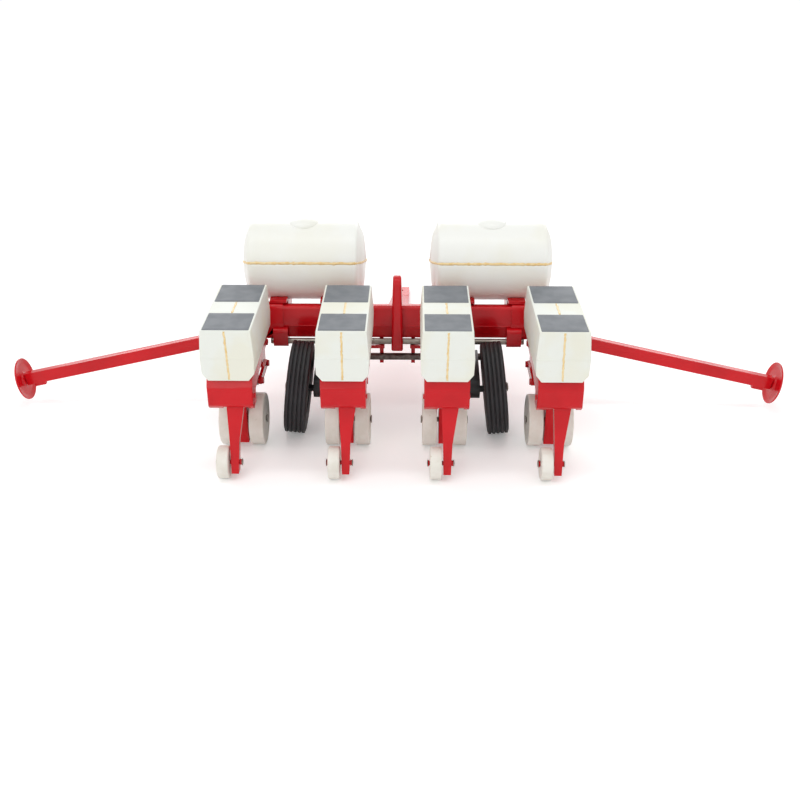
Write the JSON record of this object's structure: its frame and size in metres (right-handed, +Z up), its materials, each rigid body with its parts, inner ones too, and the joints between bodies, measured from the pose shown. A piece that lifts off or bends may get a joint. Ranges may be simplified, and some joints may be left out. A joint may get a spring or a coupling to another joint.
{
  "type": "corn planter",
  "caption": "Scale-model trailed corn planter: toolbar with row units on parallel links, seed hoppers, liquid tanks, ribbed transport wheels and folding row markers.",
  "frame": {"origin": "centre of the footprint, on the surface that the wheels stand on", "axes": "+X to the right seen from behind, along the toolbar; +Y forward along the tongue; +Z up"},
  "size_m": [0.4834, 0.31, 0.118],
  "materials": {
    "red_enamel": "glossy sprayed red enamel on a die casting",
    "cream_plastic": "moulded cream-white plastic with yellowed glue seams",
    "ivory_plastic": "moulded ivory plastic wheels, a little soiled",
    "black_rubber": "soft black ribbed tyre",
    "black_enamel": "satin black",
    "bright_steel": "dull bright steel",
    "dark_steel": "darkened steel"
  },
  "bodies": {
    "frame": {"toolbar": "red_enamel", "hitch_tongue": "red_enamel", "centre_mast": "red_enamel", "lift_rod": "bright_steel", "tank_frame": "red_enamel", "tank_lower_left": "cream_plastic", "tank_lower_right": "cream_plastic", "tank_upper_left": "cream_plastic", "tank_upper_right": "cream_plastic", "mount_bracket_1": "red_enamel", "mount_bracket_2": "red_enamel", "mount_bracket_3": "red_enamel", "mount_bracket_4": "red_enamel"},
    "rockshaft": {"rockshaft": "dark_steel", "transport_arm_left": "black_enamel", "transport_arm_right": "black_enamel"},
    "transport_wheel_left": {"transport_tyre_left": "black_rubber", "transport_rim_left": "black_enamel"},
    "transport_wheel_right": {"transport_tyre_right": "black_rubber", "transport_rim_right": "black_enamel"},
    "marker_arm_left": {"marker_arm_left": "red_enamel"},
    "marker_disc_left": {"marker_disc_left": "red_enamel"},
    "marker_arm_right": {"marker_arm_right": "red_enamel"},
    "marker_disc_right": {"marker_disc_right": "red_enamel"},
    "lower_link_1": {"lower_link_1": "red_enamel"},
    "upper_link_1": {"upper_link_1": "red_enamel"},
    "row_unit_1": {"unit_frame_1": "red_enamel", "hopper_1": "cream_plastic"},
    "gauge_wheels_1": {"gauge_axle_1": "bright_steel", "gauge_wheel_left_1": "ivory_plastic", "gauge_wheel_right_1": "ivory_plastic"},
    "press_arm_1": {"press_arm_1": "red_enamel"},
    "press_wheel_1": {"press_wheel_1": "ivory_plastic"},
    "lower_link_2": {"lower_link_2": "red_enamel"},
    "upper_link_2": {"upper_link_2": "red_enamel"},
    "row_unit_2": {"unit_frame_2": "red_enamel", "hopper_2": "cream_plastic"},
    "gauge_wheels_2": {"gauge_axle_2": "bright_steel", "gauge_wheel_left_2": "ivory_plastic", "gauge_wheel_right_2": "ivory_plastic"},
    "press_arm_2": {"press_arm_2": "red_enamel"},
    "press_wheel_2": {"press_wheel_2": "ivory_plastic"},
    "lower_link_3": {"lower_link_3": "red_enamel"},
    "upper_link_3": {"upper_link_3": "red_enamel"},
    "row_unit_3": {"unit_frame_3": "red_enamel", "hopper_3": "cream_plastic"},
    "gauge_wheels_3": {"gauge_axle_3": "bright_steel", "gauge_wheel_left_3": "ivory_plastic", "gauge_wheel_right_3": "ivory_plastic"},
    "press_arm_3": {"press_arm_3": "red_enamel"},
    "press_wheel_3": {"press_wheel_3": "ivory_plastic"},
    "lower_link_4": {"lower_link_4": "red_enamel"},
    "upper_link_4": {"upper_link_4": "red_enamel"},
    "row_unit_4": {"unit_frame_4": "red_enamel", "hopper_4": "cream_plastic"},
    "gauge_wheels_4": {"gauge_axle_4": "bright_steel", "gauge_wheel_left_4": "ivory_plastic", "gauge_wheel_right_4": "ivory_plastic"},
    "press_arm_4": {"press_arm_4": "red_enamel"},
    "press_wheel_4": {"press_wheel_4": "ivory_plastic"}
  },
  "joints": [
    {"name": "rockshaft_lift", "type": "hinge", "parent": "frame", "child": "rockshaft", "pos_m": [0, -0.05795, 0.0356], "axis": [1, 0, 0], "range_deg": [0, 25]},
    {"name": "transport_wheel_left_spin", "type": "hinge", "parent": "rockshaft", "child": "transport_wheel_left", "pos_m": [-0.0588, -0.08715, 0.02833], "axis": [0.9945, 0, -0.1045], "continuous": true},
    {"name": "transport_wheel_right_spin", "type": "hinge", "parent": "rockshaft", "child": "transport_wheel_right", "pos_m": [0.0588, -0.08715, 0.02833], "axis": [0.9945, 0, 0.1045], "continuous": true},
    {"name": "marker_arm_left_fold", "type": "hinge", "parent": "frame", "child": "marker_arm_left", "pos_m": [-0.111, -0.05595, 0.0464], "axis": [0, 1, 0], "range_deg": [0, 95]},
    {"name": "marker_disc_left_spin", "type": "hinge", "parent": "marker_arm_left", "child": "marker_disc_left", "pos_m": [-0.111, -0.05595, 0.0464], "axis": [0.9751, 0, 0.2215], "continuous": true},
    {"name": "marker_arm_right_fold", "type": "hinge", "parent": "frame", "child": "marker_arm_right", "pos_m": [0.111, -0.05595, 0.0464], "axis": [0, -1, 0], "range_deg": [0, 95]},
    {"name": "marker_disc_right_spin", "type": "hinge", "parent": "marker_arm_right", "child": "marker_disc_right", "pos_m": [0.111, -0.05595, 0.0464], "axis": [0.9751, 0, -0.2215], "continuous": true},
    {"name": "row_1_lift", "type": "hinge", "parent": "frame", "child": "lower_link_1", "pos_m": [-0.0905, -0.06975, 0.036], "axis": [-1, 0, 0], "range_deg": [-12, 18]},
    {"name": "upper_link_1_swing", "type": "hinge", "parent": "frame", "child": "upper_link_1", "pos_m": [-0.0905, -0.06975, 0.05], "axis": [-1, 0, 0], "range_deg": [-12, 18]},
    {"name": "row_1_level", "type": "hinge", "parent": "lower_link_1", "child": "row_unit_1", "pos_m": [-0.0905, -0.09475, 0.036], "axis": [-1, 0, 0], "range_deg": [-18, 12]},
    {"name": "gauge_wheels_1_spin", "type": "hinge", "parent": "row_unit_1", "child": "gauge_wheels_1", "pos_m": [-0.0905, -0.10395, 0.0154], "axis": [1, 0, 0], "continuous": true},
    {"name": "press_arm_1_drop", "type": "hinge", "parent": "row_unit_1", "child": "press_arm_1", "pos_m": [-0.0905, -0.13715, 0.0468], "axis": [1, 0, 0], "range_deg": [0, 10]},
    {"name": "press_wheel_1_spin", "type": "hinge", "parent": "press_arm_1", "child": "press_wheel_1", "pos_m": [-0.0962, -0.14575, 0.0093], "axis": [1, 0, 0], "continuous": true},
    {"name": "row_2_lift", "type": "hinge", "parent": "frame", "child": "lower_link_2", "pos_m": [-0.0285, -0.06975, 0.036], "axis": [-1, 0, 0], "range_deg": [-12, 18]},
    {"name": "upper_link_2_swing", "type": "hinge", "parent": "frame", "child": "upper_link_2", "pos_m": [-0.0285, -0.06975, 0.05], "axis": [-1, 0, 0], "range_deg": [-12, 18]},
    {"name": "row_2_level", "type": "hinge", "parent": "lower_link_2", "child": "row_unit_2", "pos_m": [-0.0285, -0.09475, 0.036], "axis": [-1, 0, 0], "range_deg": [-18, 12]},
    {"name": "gauge_wheels_2_spin", "type": "hinge", "parent": "row_unit_2", "child": "gauge_wheels_2", "pos_m": [-0.0285, -0.10395, 0.0154], "axis": [1, 0, 0], "continuous": true},
    {"name": "press_arm_2_drop", "type": "hinge", "parent": "row_unit_2", "child": "press_arm_2", "pos_m": [-0.0285, -0.13715, 0.0468], "axis": [1, 0, 0], "range_deg": [0, 10]},
    {"name": "press_wheel_2_spin", "type": "hinge", "parent": "press_arm_2", "child": "press_wheel_2", "pos_m": [-0.0342, -0.14575, 0.0093], "axis": [1, 0, 0], "continuous": true},
    {"name": "row_3_lift", "type": "hinge", "parent": "frame", "child": "lower_link_3", "pos_m": [0.0285, -0.06975, 0.036], "axis": [-1, 0, 0], "range_deg": [-12, 18]},
    {"name": "upper_link_3_swing", "type": "hinge", "parent": "frame", "child": "upper_link_3", "pos_m": [0.0285, -0.06975, 0.05], "axis": [-1, 0, 0], "range_deg": [-12, 18]},
    {"name": "row_3_level", "type": "hinge", "parent": "lower_link_3", "child": "row_unit_3", "pos_m": [0.0285, -0.09475, 0.036], "axis": [-1, 0, 0], "range_deg": [-18, 12]},
    {"name": "gauge_wheels_3_spin", "type": "hinge", "parent": "row_unit_3", "child": "gauge_wheels_3", "pos_m": [0.0285, -0.10395, 0.0154], "axis": [1, 0, 0], "continuous": true},
    {"name": "press_arm_3_drop", "type": "hinge", "parent": "row_unit_3", "child": "press_arm_3", "pos_m": [0.0285, -0.13715, 0.0468], "axis": [1, 0, 0], "range_deg": [0, 10]},
    {"name": "press_wheel_3_spin", "type": "hinge", "parent": "press_arm_3", "child": "press_wheel_3", "pos_m": [0.0228, -0.14575, 0.0093], "axis": [1, 0, 0], "continuous": true},
    {"name": "row_4_lift", "type": "hinge", "parent": "frame", "child": "lower_link_4", "pos_m": [0.0905, -0.06975, 0.036], "axis": [-1, 0, 0], "range_deg": [-12, 18]},
    {"name": "upper_link_4_swing", "type": "hinge", "parent": "frame", "child": "upper_link_4", "pos_m": [0.0905, -0.06975, 0.05], "axis": [-1, 0, 0], "range_deg": [-12, 18]},
    {"name": "row_4_level", "type": "hinge", "parent": "lower_link_4", "child": "row_unit_4", "pos_m": [0.0905, -0.09475, 0.036], "axis": [-1, 0, 0], "range_deg": [-18, 12]},
    {"name": "gauge_wheels_4_spin", "type": "hinge", "parent": "row_unit_4", "child": "gauge_wheels_4", "pos_m": [0.0905, -0.10395, 0.0154], "axis": [1, 0, 0], "continuous": true},
    {"name": "press_arm_4_drop", "type": "hinge", "parent": "row_unit_4", "child": "press_arm_4", "pos_m": [0.0905, -0.13715, 0.0468], "axis": [1, 0, 0], "range_deg": [0, 10]},
    {"name": "press_wheel_4_spin", "type": "hinge", "parent": "press_arm_4", "child": "press_wheel_4", "pos_m": [0.0848, -0.14575, 0.0093], "axis": [1, 0, 0], "continuous": true}
  ],
  "couplings": [
    {"joint": "upper_link_1_swing", "follows": "row_1_lift", "ratio": 1},
    {"joint": "row_1_level", "follows": "row_1_lift", "ratio": -1},
    {"joint": "upper_link_2_swing", "follows": "row_2_lift", "ratio": 1},
    {"joint": "row_2_level", "follows": "row_2_lift", "ratio": -1},
    {"joint": "upper_link_3_swing", "follows": "row_3_lift", "ratio": 1},
    {"joint": "row_3_level", "follows": "row_3_lift", "ratio": -1},
    {"joint": "upper_link_4_swing", "follows": "row_4_lift", "ratio": 1},
    {"joint": "row_4_level", "follows": "row_4_lift", "ratio": -1}
  ]
}
